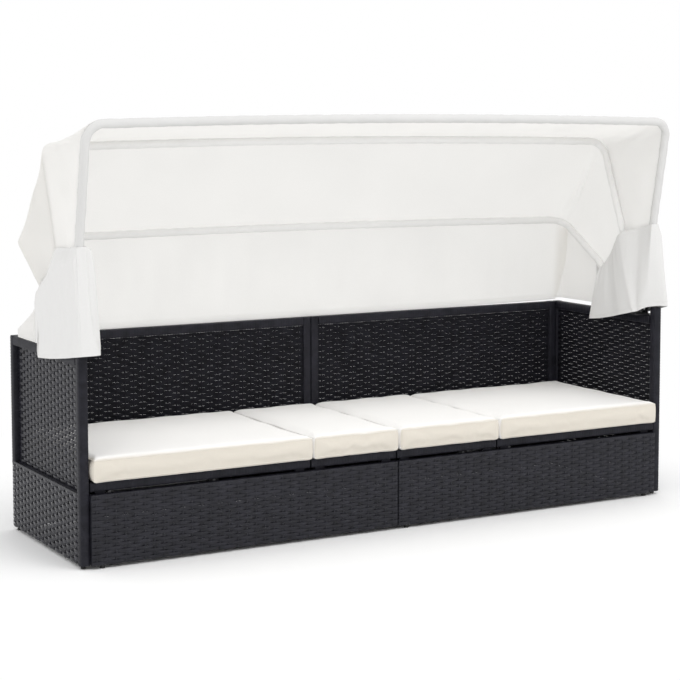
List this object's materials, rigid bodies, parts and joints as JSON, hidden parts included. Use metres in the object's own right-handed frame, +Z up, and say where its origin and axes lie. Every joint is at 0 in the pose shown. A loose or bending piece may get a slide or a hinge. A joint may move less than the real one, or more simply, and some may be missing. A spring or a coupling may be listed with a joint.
{
  "type": "daybed with canopy",
  "caption": "Outdoor woven daybed with high ends and back, sectioned seat cushions, lifting backrest and knee rest, and a folding fabric canopy on hinged bows.",
  "frame": {"origin": "on the floor, at the middle of the object's width and depth", "axes": "+X along the seat from the backrest end to the foot end, +Y from the open front to the back, +Z up"},
  "size_m": [2.024, 0.6138, 1.2385],
  "materials": {
    "wicker_frame": "woven strand, satin",
    "wicker_weave": "woven strand, satin",
    "cushion_fabric": "woven polyester, matt",
    "canopy_fabric": "woven polyester, matt",
    "bow_tube": "plain tube",
    "painted_steel": "powder coat, matt",
    "plated_steel": "zinc plated",
    "foot_plastic": "moulded, matt"
  },
  "bodies": {
    "frame": {"end_frame_left": "wicker_frame", "end_frame_right": "wicker_frame", "end_weave_left": "wicker_weave", "end_weave_right": "wicker_weave", "end_skirt_left": "wicker_weave", "end_skirt_right": "wicker_weave", "back_frame_left": "wicker_frame", "back_frame_right": "wicker_frame", "back_weave_left": "wicker_weave", "back_weave_right": "wicker_weave", "back_skirt_left": "wicker_weave", "back_skirt_right": "wicker_weave", "apron_frame_left": "wicker_frame", "apron_frame_right": "wicker_frame", "apron_weave_left": "wicker_weave", "apron_weave_right": "wicker_weave", "foot_front_left": "foot_plastic", "foot_front_right": "foot_plastic", "foot_rear_left": "foot_plastic", "foot_rear_right": "foot_plastic", "foot_apron_left": "foot_plastic", "foot_apron_middle": "foot_plastic", "foot_apron_right": "foot_plastic", "foot_back_middle_left": "foot_plastic", "foot_back_middle_right": "foot_plastic", "rear_ledge": "painted_steel", "middle_bearer": "painted_steel", "deck_seat": "wicker_frame", "deck_weave_seat": "wicker_weave", "cushion_seat": "cushion_fabric", "backrest_rack_front": "painted_steel", "backrest_rack_rear": "painted_steel", "knee_rack_front": "painted_steel", "knee_rack_rear": "painted_steel", "backrest_hinge_pin": "plated_steel", "thigh_hinge_pin": "plated_steel", "canopy_bracket_left": "painted_steel", "canopy_bracket_right": "painted_steel", "canopy_bolt_left": "painted_steel", "canopy_bolt_right": "painted_steel", "canopy_curtain": "canopy_fabric", "canopy_flap_left": "canopy_fabric", "canopy_flap_right": "canopy_fabric"},
    "backrest": {"deck_back": "wicker_frame", "deck_weave_back": "wicker_weave", "cushion_back": "cushion_fabric"},
    "backrest_prop": {"backrest_prop": "plated_steel"},
    "thigh_rest": {"deck_thigh": "wicker_frame", "deck_weave_thigh": "wicker_weave", "cushion_thigh": "cushion_fabric", "knee_hinge_pin": "plated_steel"},
    "knee_prop": {"knee_prop": "plated_steel"},
    "foot_rest": {"deck_foot": "wicker_frame", "deck_weave_foot": "wicker_weave", "cushion_foot": "cushion_fabric"},
    "rear_bow": {"bow_rear": "bow_tube"},
    "middle_bow": {"bow_mid": "bow_tube", "canopy_roof_rear": "canopy_fabric"},
    "front_bow": {"bow_front": "bow_tube", "canopy_roof_front": "canopy_fabric"}
  },
  "joints": [
    {"name": "backrest_lift", "type": "hinge", "parent": "frame", "child": "backrest", "pos_m": [-0.2905, 0, 0.231], "axis": [0, 1, 0], "range_deg": [0, 55], "deforming": ["cushion_back"]},
    {"name": "backrest_prop_swing", "type": "hinge", "parent": "backrest", "child": "backrest_prop", "pos_m": [-0.5905, 0, 0.205], "axis": [0, 1, 0], "range_deg": [-112.8, 0]},
    {"name": "thigh_lift", "type": "hinge", "parent": "frame", "child": "thigh_rest", "pos_m": [-0.0005, 0, 0.231], "axis": [0, -1, 0], "range_deg": [0, 30], "deforming": ["cushion_thigh"]},
    {"name": "knee_prop_swing", "type": "hinge", "parent": "thigh_rest", "child": "knee_prop", "pos_m": [0.2495, 0, 0.205], "axis": [0, 1, 0], "range_deg": [0, 84.1]},
    {"name": "foot_fold", "type": "hinge", "parent": "thigh_rest", "child": "foot_rest", "pos_m": [0.3595, 0, 0.221], "axis": [0, 1, 0], "range_deg": [0, 47.3]},
    {"name": "canopy_fold", "type": "hinge", "parent": "frame", "child": "rear_bow", "pos_m": [0, -0.17801, 0.603], "axis": [1, 0, 0], "range_deg": [-28.7, 0], "deforming": ["canopy_curtain", "canopy_flap_left", "canopy_flap_right"]},
    {"name": "middle_bow_fold", "type": "hinge", "parent": "rear_bow", "child": "middle_bow", "pos_m": [0, -0.17801, 0.603], "axis": [1, 0, 0], "range_deg": [-32.5, 0], "deforming": ["canopy_roof_rear"]},
    {"name": "front_bow_fold", "type": "hinge", "parent": "middle_bow", "child": "front_bow", "pos_m": [0, -0.17801, 0.603], "axis": [1, 0, 0], "range_deg": [-27.8, 0], "deforming": ["canopy_roof_front"]}
  ],
  "couplings": [
    {"joint": "backrest_prop_swing", "follows": "backrest_lift", "ratio": -2.05},
    {"joint": "knee_prop_swing", "follows": "thigh_lift", "ratio": 2.8},
    {"joint": "foot_fold", "follows": "thigh_lift", "ratio": 1.573},
    {"joint": "middle_bow_fold", "follows": "canopy_fold", "ratio": 1.1324},
    {"joint": "front_bow_fold", "follows": "canopy_fold", "ratio": 0.9686}
  ]
}
